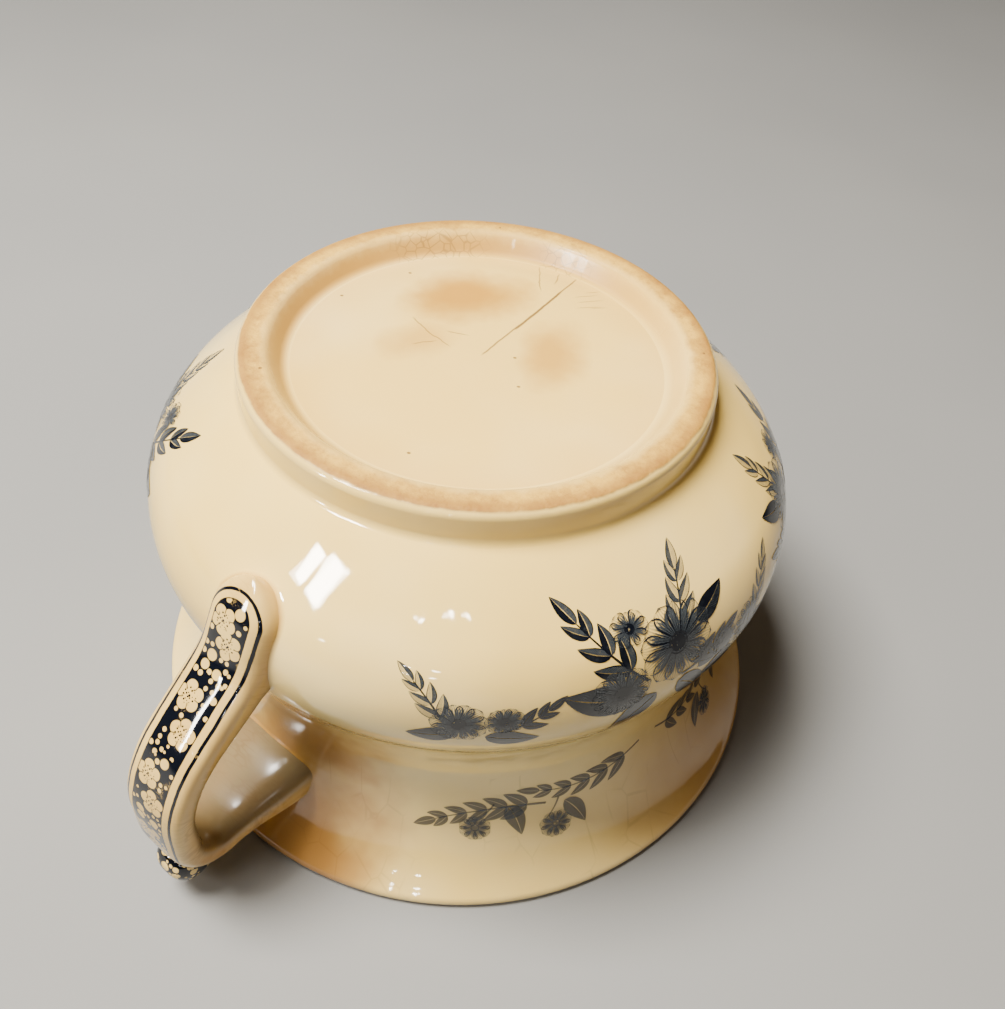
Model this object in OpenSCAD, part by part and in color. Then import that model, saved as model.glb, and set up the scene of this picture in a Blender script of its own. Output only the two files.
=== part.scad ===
// Chamber pot of glazed earthenware, standing mouth down on its rim.
// +Z runs from the rim's resting plane up to the foot ring, and the handle is on the -Y side.
// All sizes are in millimetres.

/* [Body] */
// Largest outer radius of the belly
belly_r = 98; // [85:0.5:120]
// Radius of the belly's bulge, in section
bulge_arc = 30; // [24:0.5:36]
// Angle above the widest place where the bulge becomes the closing dome
dome_turn = 47.5; // [44:0.5:52]
// Height of the base panel above the widest place
base_rise = 41.5; // [38:0.5:44]
// How far the waist stands in from the belly
waist_in = 11; // [7:0.5:15]
// Radius of the hollow curve from the belly to the rim, in section
flare_arc = 56; // [48:0.5:66]
// How far the rim stands out from the waist
rim_out = 18.5; // [14:0.5:23]
// Thickness of the wall, which the rim rounds over
wall = 6.2; // [4.5:0.1:8]
// Depth to which the rounded rim is wiped flat
rim_land = 0.5; // [0.2:0.1:1]

/* [Foot ring] */
// Outer radius of the foot ring
foot_r = 68; // [60:0.5:74]
// Width of the foot ring across its standing face
foot_w = 10; // [7:0.5:14]
// Height of the standing face above the base panel
foot_h = 6; // [4:0.5:9]
// How far the ring's inner side runs out towards the base panel
foot_slope = 2.5; // [1:0.5:4]
// Rounding of the ring's edges
foot_round = 1.4; // [0.6:0.1:2]
// Radius of the cove where the ring meets the belly
foot_cove = 3; // [2:0.5:5]

/* [Handle] */
// How far the back of the strap stands out from the belly
handle_out = 35; // [31:0.5:42]
// Width of the strap
strap_w = 22; // [18:0.5:26]
// Thickness of the strap
strap_t = 9.5; // [8:0.5:11]
// Squareness of the strap's section, where 2 is an ellipse
strap_square = 3.4; // [2:0.1:6]
// Height of the middle of the lower run above the rim's plane
low_run_z = 21.5; // [20:0.5:25]
// Radius of the lower turn, at the strap's middle
turn_arc = 12.5; // [11:0.5:15]
// Length of the straight grip between the two turns
grip_run = 11; // [6:0.5:14]
// Radius of the curve over the back, at the strap's middle
back_arc = 39; // [34:0.5:44]
// Angle that the back curve turns through
back_turn = 46; // [42:0.5:52]
// Radius of the hollow curve that lays the strap onto the belly
root_arc = 25; // [18:0.5:32]
// How much the strap thickens into the belly at that root
root_fill = 14; // [8:0.5:18]
// How far the tongue's face stands out from the belly
tongue_t = 5; // [4:0.5:7]
// Angle above the widest place where the tongue's round end is centred
tongue_end = 29.5; // [24:0.5:32]
// How far each side of the lower end is splayed
splay = 5; // [2:0.5:8]
// How much the lower end thickens into the flare
low_fill = 6; // [2:0.5:8]
// Width of the thumb spur
spur_w = 19; // [14:0.5:22]
// Radius of the thumb spur's roll
spur_roll = 7.5; // [6:0.5:9]
// Height of the thumb spur above the rim's plane
spur_gap = 6.5; // [4:0.5:9]
// Thickness of the slip that beds the strap
slip_t = 1.5; // [0.8:0.1:2.5]
// Margin of slip that shows round the strap
slip_margin = 2.5; // [1.5:0.5:4]

/* [Hidden] */
$fn = 96;
arc_steps = 20;
strap_steps = 8;
section_steps = 20;
cove_clear = 0.8;
back_share = 0.15;
root_share = 0.35;
tip_stop = 0.5;
bed_past = 5;
glaze_colour = "#ead9b6";
biscuit_colour = "#b58f7d";
slip_colour = "#c9a877";
print_colour = "#20242e";

// Side of a right triangle from its longest side and its other side
function leg(long, side) = sqrt(long * long - side * side);
// Point at a distance from a centre, along an angle
function polar(centre, r, a) = centre + r * [cos(a), sin(a)];
// Coordinate of a point along a direction
function along(p, a) = p[0] * cos(a) + p[1] * sin(a);
// Points along an arc about a centre
function arc(centre, r, from, to) =
  [for (i = [0 : arc_steps]) polar(centre, r, from + (to - from) * i / arc_steps)];
// A list of points the other way round
function reversed(points) = [for (i = [len(points) - 1 : -1 : 0]) points[i]];

// Section of the body, in the half plane [radius, height]
waist_r = belly_r - waist_in;
rim_r = waist_r + rim_out;
lip_r = wall / 2;
lip_c = [rim_r - lip_r, lip_r - rim_land];
waist_z = lip_c[1] + leg(flare_arc + lip_r, flare_arc + lip_r - rim_out);
flare_c = [waist_r + flare_arc, waist_z];
belly_z = waist_z + leg(bulge_arc + flare_arc, bulge_arc + flare_arc - waist_in);
bulge_c = [belly_r - bulge_arc, belly_z];
dome_c = [0, bulge_c[1] - bulge_c[0] * tan(dome_turn)];
dome_r = bulge_arc + bulge_c[0] / cos(dome_turn);
dome_z = bulge_c[1] + bulge_arc * sin(dome_turn);
base_z = belly_z + base_rise;
height = base_z + foot_h;
mouth_dir = 180 + atan2(flare_c[1] - lip_c[1], flare_c[0] - lip_c[0]);
belly_dir = atan2(bulge_c[1] - flare_c[1], bulge_c[0] - flare_c[0]);
land_dir = asin(lip_c[1] / lip_r);

// Curve of the flare from the waist to the rim, set in by a distance
function flare_curve(inset) = arc(flare_c, flare_arc + inset, 180, mouth_dir);
// Curve of the belly from the waist to the edge of the base panel, set in by a distance
function belly_curve(inset) = concat(
  arc(flare_c, flare_arc + inset, 180, belly_dir),
  arc(bulge_c, bulge_arc - inset, belly_dir - 180, dome_turn),
  arc(dome_c, dome_r - inset, dome_turn, asin((base_z - inset - dome_c[1]) / (dome_r - inset)))
);
// Rounded rim from the outside, over its wiped land, to the inside
lip_curve = concat(
  arc(lip_c, lip_r, mouth_dir - 180, -land_dir),
  arc(lip_c, lip_r, land_dir - 180, mouth_dir - 360)
);

// Middle line of the handle, in the plane [radius, height]
reach_r = belly_r + handle_out;
mid_r = reach_r - strap_t / 2;
turn_c = [mid_r - turn_arc, low_run_z + turn_arc];
back_c = [mid_r - back_arc, turn_c[1] + grip_run];
tongue_arc = bulge_arc + tongue_t - strap_t / 2;
root_span = tongue_arc + root_arc;
root_rise = along(back_c, back_turn) + back_arc - along(bulge_c, back_turn);
root_turn = acos((root_rise + root_arc) / root_span);
tongue_start = back_turn - root_turn;
root_c = polar(bulge_c, root_span, tongue_start);
back_swell = root_fill * back_share;
root_swell = root_fill * root_share;
strap_low = back_turn - acos((root_rise - strap_t / 2 - root_swell) / bulge_arc);
spur_c = [reach_r - spur_roll, spur_gap + spur_roll];
bed_run = bulge_arc * sin(tongue_end - strap_low) + bed_past - strap_w / 2 - slip_margin;
splay_half = strap_w / 2 + splay;

// Filled half section of the pot, stood off by a distance, which trims whatever is joined to it
module pot_section(stand_off) {
  polygon(concat(
    reversed(flare_curve(-stand_off)), belly_curve(-stand_off),
    [[0, base_z + stand_off], [0, lip_c[1]]]
  ));
}

module pot_trim() {
  rotate_extrude() pot_section(0);
}

// Places of the strap from the flare to the tongue's tip:
// [middle, way the face looks, half width, swell underneath]
low_stations = [for (i = [0 : strap_steps - 1]) let (t = i / strap_steps)
  let (ease = (1 + cos(180 * t)) / 2)
  [[waist_r + (turn_c[0] - waist_r) * t, low_run_z], -90, strap_w / 2 + splay * ease, low_fill * ease]];
turn_stations = [for (i = [0 : strap_steps]) let (a = 90 * i / strap_steps - 90)
  [polar(turn_c, turn_arc, a), a, strap_w / 2, 0]];
back_stations = [for (i = [0 : strap_steps]) let (t = i / strap_steps)
  [polar(back_c, back_arc, back_turn * t), back_turn * t, strap_w / 2, back_swell * t * t]];
root_stations = [for (i = [0 : strap_steps]) let (t = i / strap_steps)
  let (a = back_turn - root_turn * t)
  [polar(root_c, -root_arc, a), a, strap_w / 2, root_swell + (root_fill - root_swell) * t]];
tip_stations = [for (i = [0 : strap_steps]) let (a = 90 * i / (strap_steps + tip_stop))
  let (look = tongue_end + asin(strap_w / 2 * sin(a) / tongue_arc))
  [polar(bulge_c, tongue_arc, look), look, strap_w / 2 * cos(a), root_fill]];
stations = concat(low_stations, turn_stations, back_stations, root_stations, tip_stations);

// Coordinate round the strap's section, squared off from an ellipse
function squared(v) = sign(v) * pow(abs(v), 2 / strap_square);
// Point of the strap's skin at a station, by its angle round the section
function skin_point(st, a) =
  let (depth = squared(cos(a)) * (strap_t + st[3]) / 2 - st[3] / 2)
  let (q = polar(st[0], depth, st[1])) [st[2] * squared(sin(a)), -q[0], q[1]];

// The strap from the flare round to the belly, not yet trimmed
module strap_form() {
  n = section_steps;
  last = len(stations) - 1;
  polyhedron(
    points = [for (st = stations, j = [0 : n - 1]) skin_point(st, 360 * j / n)],
    faces = concat(
      [[for (j = [0 : n - 1]) j]],
      [for (i = [0 : last - 1], j = [0 : n - 1]) [i * n + j, (i + 1) * n + j, i * n + (j + 1) % n]],
      [for (i = [0 : last - 1], j = [0 : n - 1])
        [i * n + (j + 1) % n, (i + 1) * n + j, (i + 1) * n + (j + 1) % n]],
      [[for (j = [n - 1 : -1 : 0]) last * n + j]]
    )
  );
}

// Turns the handle's plane upright on the -Y side
module on_handle_side() {
  rotate(-90) children();
}

// Bed of slip on the pot's surface, inside the child's outline
module slip_bed() {
  difference() {
    intersection() {
      rotate_extrude() pot_section(slip_t);
      on_handle_side() rotate([90, 0, 0]) children();
    }
    pot_trim();
    strap_form();
  }
}

module bowl() {
  color(glaze_colour)
    rotate_extrude()
      polygon(concat(belly_curve(0), [[0, base_z], [0, base_z - wall]], reversed(belly_curve(wall))));
}

module flared_neck() {
  color(glaze_colour)
    rotate_extrude()
      polygon(concat(flare_curve(0), lip_curve, reversed(flare_curve(wall))));
}

module foot_ring() {
  cove_far = dome_r + foot_cove * cove_clear;
  cove_c = [foot_r + foot_cove, dome_c[1] + leg(cove_far, foot_r + foot_cove)];
  cove_end = cove_c[0] * dome_r / cove_far;
  inner_r = foot_r - foot_w;
  color(biscuit_colour)
    rotate_extrude()
      difference() {
        union() {
          translate([inner_r, dome_z]) square([foot_w, height - foot_round - dome_z]);
          translate([inner_r + foot_round, dome_z]) square([foot_w - 2 * foot_round, height - dome_z]);
          for (r = [inner_r + foot_round, foot_r - foot_round])
            translate([r, height - foot_round]) circle(foot_round);
          polygon([[inner_r, height - foot_round], [inner_r - foot_slope, base_z], [inner_r, base_z]]);
          difference() {
            translate([foot_r, dome_z]) square([cove_end - foot_r, cove_c[1] - dome_z]);
            translate(cove_c) circle(foot_cove);
          }
        }
        pot_section(0);
      }
}

module handle_strap() {
  color(glaze_colour)
    difference() {
      strap_form();
      pot_trim();
    }
}

module thumb_spur() {
  color(print_colour)
    difference() {
      on_handle_side()
        intersection() {
          translate([spur_c[0], 0, spur_c[1]]) rotate([90, 0, 0])
            cylinder(r = spur_roll, h = spur_w * 2, center = true);
          translate([spur_c[0], 0, spur_gap + spur_w / 2]) rotate([0, 90, 0])
            cylinder(r = spur_w / 2, h = spur_roll * 4, center = true);
        }
      strap_form();
    }
}

module upper_slip_joint() {
  bed_half = strap_w / 2 + slip_margin;
  color(slip_colour)
    slip_bed()
      translate(bulge_c) rotate(tongue_end) rotate([0, 90, 0])
        linear_extrude(bulge_arc + strap_t) {
          for (y = [-bed_run, 0]) translate([0, y]) circle(bed_half);
          translate([-bed_half, -bed_run]) square([2 * bed_half, bed_run]);
        }
}

module lower_slip_joint() {
  root_half = (strap_t + low_fill) / 2;
  bed_half = root_half + slip_margin;
  color(slip_colour)
    slip_bed()
      translate([0, low_run_z + low_fill / 2]) rotate([0, 90, 0])
        linear_extrude(flare_c[0]) {
          for (x = [-1, 1]) translate([x * (splay_half - root_half), 0]) circle(bed_half);
          square([2 * (splay_half - root_half), 2 * bed_half], center = true);
        }
}

bowl();
flared_neck();
foot_ring();
handle_strap();
thumb_spur();
upper_slip_joint();
lower_slip_joint();
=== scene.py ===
"""Looks of a glazed earthenware chamber pot, mouth down on its rim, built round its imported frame."""

import functools
import math

import bmesh
import bpy
from bpy.props import FloatProperty, FloatVectorProperty, IntProperty, PointerProperty
from mathutils import Matrix, Vector


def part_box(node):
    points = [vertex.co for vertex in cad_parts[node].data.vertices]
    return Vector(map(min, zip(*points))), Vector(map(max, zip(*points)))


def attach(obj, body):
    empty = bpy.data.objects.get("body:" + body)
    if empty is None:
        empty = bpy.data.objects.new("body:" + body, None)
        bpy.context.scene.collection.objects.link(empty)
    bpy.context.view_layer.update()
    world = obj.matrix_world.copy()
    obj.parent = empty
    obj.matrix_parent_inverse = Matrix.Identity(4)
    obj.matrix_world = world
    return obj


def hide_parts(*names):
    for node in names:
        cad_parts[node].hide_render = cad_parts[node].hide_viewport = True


bl_info = {
    "name": "Chamber pot",
    "version": (1, 0, 0),
    "blender": (4, 5, 0),
    "location": "View3D > Sidebar > Pot",
    "description": "Builds a glazed earthenware chamber pot, its handle and its printed ornament",
    "category": "Add Mesh",
}

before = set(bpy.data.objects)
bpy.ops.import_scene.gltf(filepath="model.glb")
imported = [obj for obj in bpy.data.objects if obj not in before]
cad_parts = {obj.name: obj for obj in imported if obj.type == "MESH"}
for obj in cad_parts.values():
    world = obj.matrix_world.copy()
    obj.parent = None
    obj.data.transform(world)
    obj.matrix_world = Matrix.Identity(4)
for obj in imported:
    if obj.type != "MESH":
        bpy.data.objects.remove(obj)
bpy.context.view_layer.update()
BOWL_LOW, BOWL_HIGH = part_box("bowl")
NECK_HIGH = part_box("flared_neck")[1]
FOOT_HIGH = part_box("foot_ring")[1]
STRAP_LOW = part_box("handle_strap")[0]
MM = 0.001
BODY = "root"


def length(name, description, default):
    """A size in metres that a user may change."""
    return FloatProperty(name=name, description=description, default=default, unit="LENGTH", precision=4)


def turn(name, description, degrees):
    """An angle that a user may change."""
    return FloatProperty(
        name=name, description=description, default=math.radians(degrees), unit="ROTATION"
    )


def number(name, description, default):
    """A plain number that a user may change."""
    return FloatProperty(name=name, description=description, default=default)


def tint(name, description, default):
    """A colour that a user may change."""
    return FloatVectorProperty(
        name=name, description=description, default=default, size=3, subtype="COLOR", min=0, max=1
    )


class PotBodySizes(bpy.types.PropertyGroup):
    """Sizes of the bowl, the neck and the foot ring."""

    belly_radius: length("Belly radius", "Largest outer radius of the belly", BOWL_HIGH.x)
    bulge_arc: length("Bulge arc", "Radius of the belly's bulge, in section", 30 * MM)
    dome_turn: turn("Dome turn", "Angle above the widest place where the bulge becomes the dome", 47.5)
    waist_in: length("Waist", "How far the waist stands in from the belly", 11 * MM)
    flare_arc: length("Flare arc", "Radius of the hollow curve from the belly to the rim", 56 * MM)
    rim_radius: length("Rim radius", "Outer radius of the rim", NECK_HIGH.x)
    rim_land: length("Rim land", "Depth to which the rounded rim is wiped flat", 0.5 * MM)
    wall: length("Wall", "Thickness of the wall", 6.2 * MM)
    foot_radius: length("Foot radius", "Outer radius of the foot ring", 68 * MM)
    foot_width: length("Foot width", "Width of the foot ring across its face", 10 * MM)
    foot_lean: turn("Foot lean", "How far the ring's inner side leans from upright", 35)
    foot_soft: length("Foot softness", "Rounding of the ring's inner edge", 3 * MM)
    panel_cove: length("Panel cove", "Radius of the cove round the base panel", 3.5 * MM)
    foot_round: length("Foot rounding", "Rounding of the ring's edges", 1.4 * MM)
    foot_cove: length("Foot cove", "Radius of the cove where the ring meets the belly", 3 * MM)
    lathe_steps: IntProperty(name="Lathe steps", description="Faces round the pot", default=192, min=48)


class PotHandleSizes(bpy.types.PropertyGroup):
    """Sizes of the strap handle, its spur and the slip at its roots."""

    strap_width: length("Strap width", "Width of the strap", 22 * MM)
    strap_thick: length("Strap thickness", "Thickness of the strap", 9.5 * MM)
    strap_square: number("Squareness", "Squareness of the section, 2 is an ellipse", 3.4)
    low_run: length("Lower run", "Height of the middle of the lower run", 21.5 * MM)
    turn_arc: length("Lower turn", "Radius of the lower turn at the strap's middle", 12.5 * MM)
    grip_run: length("Grip", "Length of the straight grip", 11 * MM)
    back_arc: length("Back arc", "Radius of the curve over the back", 39 * MM)
    back_turn: turn("Back turn", "Angle that the back curve turns through", 46)
    root_arc: length("Root arc", "Radius of the curve that lays the strap onto the belly", 25 * MM)
    root_fill: length("Root fill", "How much the strap thickens into the belly", 14 * MM)
    low_fill: length("Lower fill", "How much the lower end thickens into the flare", 6 * MM)
    tongue_out: length("Tongue", "How far the tongue's face stands out from the belly", 5 * MM)
    tongue_end: turn("Tongue end", "Angle above the widest place to the tongue's round end", 29.5)
    splay: length("Splay", "How far each side of the lower end is splayed", 5 * MM)
    spur_aside: length("Spur aside", "How far the thumb spur is shaped to one side", 1.8 * MM)
    aside: length("Aside", "How far the whole strap stands to one side", -0.9 * MM)
    lean: number("Lean", "How far the strap leans aside as it rises", 0.068)
    lean_from: length("Lean from", "Height above which the strap leans", 38 * MM)
    slip_margin: length("Slip margin", "Margin of slip that shows round the strap", 1.2 * MM)
    slip_under: length("Slip under", "How far the slip reaches in under the strap", 1.4 * MM)
    slip_rise: length("Slip rise", "How far the slip climbs up the strap", 1.5 * MM)


class PotColours(bpy.types.PropertyGroup):
    """Colours of the glaze, its stains and the printed ornament."""

    cream: tint("Cream", "Glaze over the cream body", (0.86, 0.615, 0.17))
    ivory: tint("Ivory", "Paler places in the glaze", (0.90, 0.70, 0.29))
    # Tea also browns the foot ring's inner slope, partly as painted shade
    tea: tint("Tea", "Old stain that has crept under the glaze", (0.46, 0.22, 0.02))
    # Rust also stands for painted shade at the waist by the handle and at the strap's lower root
    rust: tint("Rust", "Strong stain on the flare and at the handle's roots", (0.34, 0.135, 0.025))
    # Painted shade: this dark colour on the inside of the handle's loop stands for the strap's shadow
    # there
    shade: tint("Shade", "Greyed glaze inside the handle's loop", (0.115, 0.095, 0.065))
    biscuit: tint("Biscuit", "Bare clay of the foot's standing face", (0.66, 0.405, 0.065))
    scuff: tint("Scuff", "Dirt worn into the bare clay", (0.25, 0.108, 0.02))
    soot: tint("Soot", "Dirt in cracks, crazing and pin holes", (0.10, 0.05, 0.02))
    ink: tint("Ink", "Darkest printed colour", (0.003, 0.004, 0.008))
    slate: tint("Slate", "Middle printed colour", (0.075, 0.09, 0.105))
    floor: tint("Floor", "Plain floor of the studio", (0.20, 0.21, 0.225))


class Wire:
    """A shader socket that takes part in Python expressions."""

    def __init__(self, nodes, socket):
        self.nodes = nodes
        self.socket = socket

    def maths(self, operation, *values):
        return self.nodes.node("ShaderNodeMath", {"operation": operation}, dict(enumerate(values)))

    def __add__(self, other):
        return self.maths("ADD", self, other)

    __radd__ = __add__

    def __sub__(self, other):
        return self.maths("SUBTRACT", self, other)

    def __rsub__(self, other):
        return self.maths("SUBTRACT", other, self)

    def __mul__(self, other):
        return self.maths("MULTIPLY", self, other)

    __rmul__ = __mul__

    def __truediv__(self, other):
        return self.maths("DIVIDE", self, other)

    def __rtruediv__(self, other):
        return self.maths("DIVIDE", other, self)

    def __mod__(self, other):
        return self.maths("FLOORED_MODULO", self, other)

    def __gt__(self, other):
        return self.maths("GREATER_THAN", self, other)

    def __lt__(self, other):
        return self.maths("LESS_THAN", self, other)

    def __abs__(self):
        return self.maths("ABSOLUTE", self)

    def floor(self):
        return self.maths("FLOOR", self)

    def sine(self):
        return self.maths("SINE", self)

    def at_least(self, other):
        return self.maths("MAXIMUM", self, other)

    def at_most(self, other):
        return self.maths("MINIMUM", self, other)

    def step(self, low, high):
        """0 below low and 1 above high, with a soft change between them; low may be above high."""
        return self.nodes.node(
            "ShaderNodeMapRange",
            {"interpolation_type": "SMOOTHSTEP"},
            {"Value": self, "From Min": low, "From Max": high},
        )

    def output(self, name):
        """Another output of the node that this socket belongs to."""
        return Wire(self.nodes, self.socket.node.outputs[name])


class Nodes:
    """A node tree in the making."""

    def __init__(self, tree):
        self.tree = tree
        self.tree.nodes.clear()

    def node(self, kind, settings=None, sockets=None, out=0):
        """Adds a node with its settings, feeds its sockets and returns one of its outputs."""
        made = self.tree.nodes.new(kind)
        for key, value in (settings or {}).items():
            setattr(made, key, value)
        for key, value in (sockets or {}).items():
            self.feed(made.inputs[key], value)
        return Wire(self, made.outputs[out]) if made.outputs else None

    def feed(self, socket, value):
        if isinstance(value, Wire):
            self.tree.links.new(value.socket, socket)
        elif socket.type == "RGBA":
            socket.default_value = (*value, 1)
        else:
            socket.default_value = value


class Finish(Nodes):
    """A material in the making: one glossy shader, and nodes added by expressions."""

    def __init__(self, name):
        self.material = bpy.data.materials.new(name)
        self.material.use_nodes = True
        super().__init__(self.material.node_tree)
        skin = self.node("ShaderNodeBsdfPrincipled")
        self.shader = skin.socket.node
        self.node("ShaderNodeOutputMaterial", None, {"Surface": skin})
        place = self.node("ShaderNodeTexCoord", out="Object")
        self.mm = self.node("ShaderNodeVectorMath", {"operation": "SCALE"}, {0: place, "Scale": 1 / MM})

    def surface(self, **sockets):
        """Feeds the shader's own sockets: Base_Color stands for Base Color."""
        for key, value in sockets.items():
            self.feed(self.shader.inputs[key.replace("_", " ")], value)
        return self.material

    def split(self, vector):
        apart = self.node("ShaderNodeSeparateXYZ", None, {0: vector})
        return apart, apart.output("Y"), apart.output("Z")

    def joined(self, x, y, z):
        return self.node("ShaderNodeCombineXYZ", None, {"X": x, "Y": y, "Z": z})

    def attribute(self, name):
        return self.node("ShaderNodeAttribute", {"attribute_name": name}, out="Vector")

    def blend(self, share, first, second):
        """A mix of two colours, from the first at 0 to the second at 1."""
        return self.node("ShaderNodeMix", {"data_type": "RGBA"}, {0: share, 6: first, 7: second}, out=2)

    def noise(self, period, detail=3.0, rough=0.55, vector=None):
        """Smooth noise round 0.5 whose swells are about one period across, in millimetres."""
        sockets = {"Vector": vector or self.mm, "Scale": 1 / period, "Detail": detail, "Roughness": rough}
        return self.node("ShaderNodeTexNoise", None, sockets)

    def waver(self, period, reach, detail=3.0):
        """Smooth noise that swings to either side of 0 by up to a reach."""
        return (self.noise(period, detail) - 0.5) * (2 * reach)

    def cells(self, period, feature="F1", vector=None, flat=False, scatter=1.0):
        """Scattered cells about one period across; the distance is in cells."""
        settings = {"feature": feature, "voronoi_dimensions": "2D" if flat else "3D"}
        sockets = {"Vector": vector or self.mm, "Scale": 1 / period, "Randomness": scatter}
        return self.node("ShaderNodeTexVoronoi", settings, sockets, "Distance")

    def spots(self, period, radius, share, vector=None, flat=False):
        """Round spots in a share of the cells, with a soft edge and radii that vary."""
        distance = self.cells(period, vector=vector, flat=flat)
        lot, size, _ = self.split(distance.output("Color"))
        reach = (0.6 + 0.6 * size) * (radius / period)
        return (distance / reach).step(1.1, 0.9) * (lot < share)

    def crazing(self, period, width, vector=None):
        """Fine cracks between cells, 1 on a crack."""
        return self.cells(period, "DISTANCE_TO_EDGE", vector).step(width / period, 0.2 * width / period)

    def measured(self, operation, *vectors):
        """A number that is measured on vectors."""
        sockets = dict(enumerate(vectors))
        return self.node("ShaderNodeVectorMath", {"operation": operation}, sockets, "Value")

    def length(self, u, v):
        return self.measured("LENGTH", self.joined(u, v, 0))

    def turned(self, x, y, degrees):
        """Coordinates along and across a direction in plan, measured from a point."""
        px, py, _ = self.split(self.mm)
        a = math.radians(degrees)
        along = (px - x) * math.cos(a) + (py - y) * math.sin(a)
        return along, (py - y) * math.cos(a) - (px - x) * math.sin(a)

    def pool(self, x, y, long, wide, degrees=0.0):
        """Distance in plan from a point, as a share of an ellipse's half lengths."""
        along, across = self.turned(x, y, degrees)
        return self.length(along / long, across / wide)

    def stroke(self, x, y, end_x, end_y, width, waver):
        """A thin line in plan between two points, 1 in its middle."""
        along, across = self.turned(x, y, math.degrees(math.atan2(end_y - y, end_x - x)))
        reach = math.hypot(end_x - x, end_y - y)
        between = along.step(-0.8, 1.5) * along.step(reach + 0.8, reach - 2)
        return abs(across + waver).step(width, 0.25 * width) * between

    def far_from(self, x, y, z):
        """Distance in millimetres from a point of the object."""
        return self.measured("DISTANCE", self.mm, (x, y, z))

    def relief(self, height, depth, strength=1.0):
        """A normal from a height between 0 and 1 that stands for so many millimetres."""
        sockets = {"Strength": strength, "Distance": depth * MM, "Height": height}
        return self.node("ShaderNodeBump", None, sockets)


class PotForm:
    """Curves of the pot's outside in the half plane (radius, height), in metres."""

    def __init__(self, s):
        self.sizes = s
        self.base_z = BOWL_HIGH.z
        self.height = FOOT_HIGH.z
        self.waist = Vector((s.belly_radius - s.waist_in, BOWL_LOW.z))
        self.flare_c = self.waist + Vector((s.flare_arc, 0))
        span = s.bulge_arc + s.flare_arc
        self.bulge_c = Vector((s.belly_radius - s.bulge_arc, self.waist.y + leg(span, span - s.waist_in)))
        self.dome_c = Vector((0, self.bulge_c.y - self.bulge_c.x * math.tan(s.dome_turn)))
        self.dome_r = s.bulge_arc + self.bulge_c.x / math.cos(s.dome_turn)
        self.lip_r = s.wall / 2
        self.lip_c = Vector((s.rim_radius - self.lip_r, self.lip_r - s.rim_land))
        self.belly_turn = heading(self.bulge_c, self.flare_c, flip=True)
        self.mouth_turn = heading(self.lip_c, self.flare_c)
        self.base_turn = self.dome_angle(0)
        self.bulge_start = s.flare_arc * self.belly_turn
        self.dome_start = self.bulge_start + s.bulge_arc * (self.belly_turn + s.dome_turn)

    def dome_angle(self, inset):
        return math.asin((self.base_z - inset - self.dome_c.y) / (self.dome_r - inset))

    def outside(self, s, stand_off=0.0):
        """Point (radius, height) on the outside, at a length along it from the waist towards the foot."""
        sizes = self.sizes
        if s < self.bulge_start:
            return polar(self.flare_c, -(sizes.flare_arc - stand_off), -s / sizes.flare_arc)
        if s < self.dome_start:
            angle = (s - self.bulge_start) / sizes.bulge_arc - self.belly_turn
            return polar(self.bulge_c, sizes.bulge_arc + stand_off, angle)
        angle = (s - self.dome_start) / self.dome_r + sizes.dome_turn
        return polar(self.dome_c, self.dome_r + stand_off, angle)

    def on_outside(self, azimuth, across, s, stand_off=0.0):
        """Point in space on the outside, so far across from an azimuth."""
        radius, z = self.outside(s, stand_off)
        return Vector((*polar(Vector((0, 0)), radius, azimuth + across / radius), z))

    def buried(self, point, depth):
        """The point itself, or the nearest one that lies no deeper than depth inside the pot."""
        flat = Vector((math.hypot(point.x, point.y), point.z))
        if flat.y < self.waist.y:
            centre, farthest = self.flare_c, self.sizes.flare_arc + depth
            too_deep = (flat - centre).length > farthest
        else:
            centre, farthest = self.bulge_c, self.sizes.bulge_arc - depth
            too_deep = (flat - centre).length < farthest
        if not too_deep:
            return point
        moved = centre + (flat - centre).normalized() * farthest
        share = moved.x / flat.x
        return Vector((point.x * share, point.y * share, moved.y))


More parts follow.
